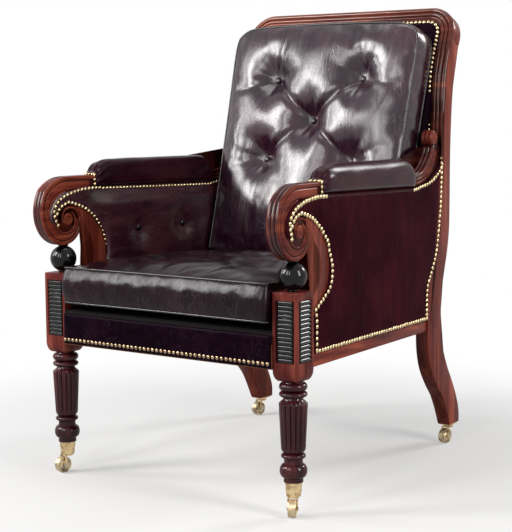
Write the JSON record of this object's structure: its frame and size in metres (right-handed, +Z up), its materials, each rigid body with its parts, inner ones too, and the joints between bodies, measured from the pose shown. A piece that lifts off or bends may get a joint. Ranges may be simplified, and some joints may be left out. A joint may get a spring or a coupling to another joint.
{
  "type": "library armchair",
  "caption": "Leather library armchair with scrolled mahogany arms over ebonised balls, loose buttoned cushions, reeded front legs, sabre back legs and brass castors.",
  "frame": {"origin": "on the floor, under the middle of the chair's own box", "axes": "+Z up; the chair faces -Y; +X is to the right of someone who looks at its front"},
  "size_m": [0.6572, 0.8132, 1.02],
  "materials": {
    "mahogany": "french polished, gloss",
    "ebonised_wood": "ebonised, high gloss",
    "beech": "planed, unfinished",
    "webbing": "woven jute",
    "deck_cloth": "black cloth over stuffing",
    "leather": "waxed, glossy, aubergine black",
    "outside_leather": "waxed, dark red-brown",
    "cushion_leather": "waxed, glossy, creased",
    "button_leather": "waxed, glossy",
    "brass": "aged, satin",
    "wheel_brass": "worn, dull",
    "steel": "dull"
  },
  "bodies": {
    "chair": {"front_leg_left": "mahogany", "front_leg_right": "mahogany", "leg_reeds_left": "ebonised_wood", "leg_reeds_right": "ebonised_wood", "ball_left": "ebonised_wood", "ball_right": "ebonised_wood", "arm_rail_left": "mahogany", "arm_rail_right": "mahogany", "arm_support_left": "mahogany", "arm_support_right": "mahogany", "arm_pad_left": "leather", "arm_pad_right": "leather", "back_leg_left": "mahogany", "back_leg_right": "mahogany", "crest_rail": "mahogany", "lower_back_rail": "beech", "front_seat_rail": "beech", "back_seat_rail": "beech", "side_rail_left": "mahogany", "side_rail_right": "mahogany", "corner_blocks": "beech", "seat_webbing": "webbing", "seat_deck": "deck_cloth", "front_rail_cover": "leather", "side_leather_left": "outside_leather", "side_leather_right": "outside_leather", "inner_leather_left": "leather", "inner_leather_right": "leather", "inner_squab_left": "leather", "inner_squab_right": "leather", "squab_buttons_left": "button_leather", "squab_buttons_right": "button_leather", "inside_back": "leather", "outside_back": "outside_leather", "castor_cup_left": "brass", "castor_cup_right": "brass", "castor_plate_left": "brass", "castor_plate_right": "brass"},
    "castor_front_left": {"horn_front_left": "brass", "axle_front_left": "steel"},
    "roller_front_left": {"wheel_front_left": "wheel_brass"},
    "castor_front_right": {"horn_front_right": "brass", "axle_front_right": "steel"},
    "roller_front_right": {"wheel_front_right": "wheel_brass"},
    "castor_back_left": {"horn_back_left": "brass", "axle_back_left": "steel"},
    "roller_back_left": {"wheel_back_left": "wheel_brass"},
    "castor_back_right": {"horn_back_right": "brass", "axle_back_right": "steel"},
    "roller_back_right": {"wheel_back_right": "wheel_brass"},
    "seat": {"seat_cushion": "cushion_leather", "seat_buttons": "button_leather"},
    "back": {"back_cushion": "cushion_leather", "back_buttons": "button_leather"}
  },
  "joints": [
    {"name": "castor_front_left_swivel", "type": "hinge", "parent": "chair", "child": "castor_front_left", "pos_m": [-0.299, -0.33208, 0.04], "axis": [0, 0, 1], "continuous": true},
    {"name": "wheel_front_left_spin", "type": "hinge", "parent": "castor_front_left", "child": "roller_front_left", "pos_m": [-0.3017, -0.3448, 0.0175], "axis": [0.9781, -0.2079, 0], "continuous": true},
    {"name": "castor_front_right_swivel", "type": "hinge", "parent": "chair", "child": "castor_front_right", "pos_m": [0.299, -0.33208, 0.04], "axis": [0, 0, 1], "continuous": true},
    {"name": "wheel_front_right_spin", "type": "hinge", "parent": "castor_front_right", "child": "roller_front_right", "pos_m": [0.30449, -0.34386, 0.0175], "axis": [0.9063, 0.4226, 0], "continuous": true},
    {"name": "castor_back_left_swivel", "type": "hinge", "parent": "chair", "child": "castor_back_left", "pos_m": [-0.27033, 0.37049, 0.04], "axis": [0, 0, 1], "continuous": true},
    {"name": "wheel_back_left_spin", "type": "hinge", "parent": "castor_back_left", "child": "roller_back_left", "pos_m": [-0.27303, 0.35777, 0.0175], "axis": [0.9781, -0.2079, 0], "continuous": true},
    {"name": "castor_back_right_swivel", "type": "hinge", "parent": "chair", "child": "castor_back_right", "pos_m": [0.27033, 0.37049, 0.04], "axis": [0, 0, 1], "continuous": true},
    {"name": "wheel_back_right_spin", "type": "hinge", "parent": "castor_back_right", "child": "roller_back_right", "pos_m": [0.26852, 0.35761, 0.0175], "axis": [0.9903, -0.1392, 0], "continuous": true},
    {"name": "seat_cushion_draws_out", "type": "slide", "parent": "chair", "child": "seat", "axis": [0, -0.9994, 0.0349], "range_m": [0, 0.25]},
    {"name": "back_cushion_lifts_out", "type": "slide", "parent": "chair", "child": "back", "axis": [0, 0.2504, 0.9681], "range_m": [0, 0.25]}
  ]
}
